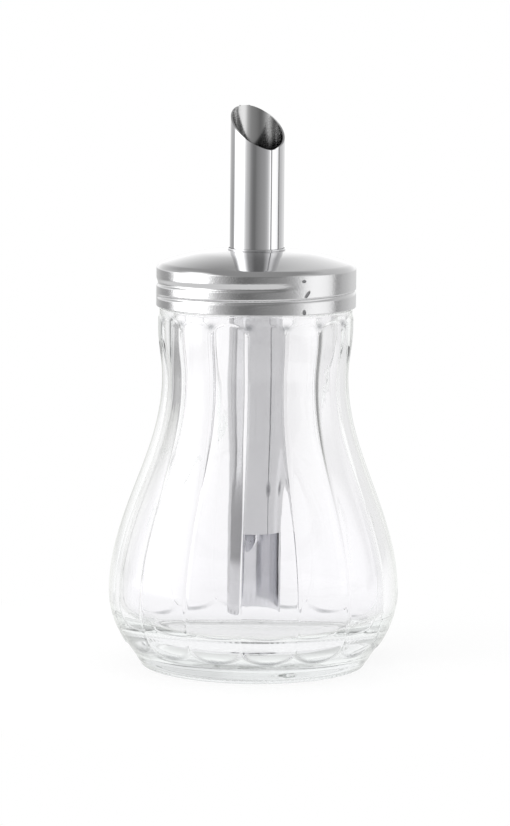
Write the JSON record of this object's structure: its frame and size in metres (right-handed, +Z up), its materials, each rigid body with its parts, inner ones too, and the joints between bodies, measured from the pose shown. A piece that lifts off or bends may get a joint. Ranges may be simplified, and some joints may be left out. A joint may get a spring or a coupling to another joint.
{
  "type": "sugar dispenser",
  "caption": "Fluted glass sugar jar with a steel screw lid, a slant-cut pouring tube down to its floor, and a small swinging dosing flap inside the tube.",
  "frame": {"origin": "middle of the jar's foot, on the plane that it stands on", "axes": "+Z up along the jar's axis, -Y the front seen in the picture, +X to its right"},
  "size_m": [0.0758, 0.0758, 0.1463],
  "materials": {
    "clear_glass": "clear pressed soda-lime glass, faint green tint at its thick edges",
    "liner": "soft white lid liner",
    "satin_steel": "pressed stainless sheet, satin crown and brighter rolled side",
    "polished_steel": "mirror-polished stainless tube"
  },
  "bodies": {
    "jar": {"glass_jar": "clear_glass"},
    "seal": {"sealing_ring": "liner"},
    "lid": {"screw_lid": "satin_steel", "spout_collar": "polished_steel", "spout_tube": "polished_steel", "flap_pin": "polished_steel"},
    "flap": {"dosing_flap": "polished_steel"}
  },
  "joints": [
    {"name": "lid_rise", "type": "slide", "parent": "jar", "child": "seal", "axis": [0, 0, 1], "range_m": [0, 0.00391]},
    {"name": "lid_unscrew", "type": "hinge", "parent": "seal", "child": "lid", "pos_m": [0, 0, 0.1], "axis": [0, 0, 1], "range_deg": [0, 440]},
    {"name": "flap_swing", "type": "hinge", "parent": "lid", "child": "flap", "pos_m": [-0.00214, -0.00129, 0.0385], "axis": [0.515, -0.8572, 0], "range_deg": [0, 70]}
  ],
  "couplings": [
    {"joint": "lid_unscrew", "follows": "lid_rise", "rad_per_m": 1963.5}
  ]
}
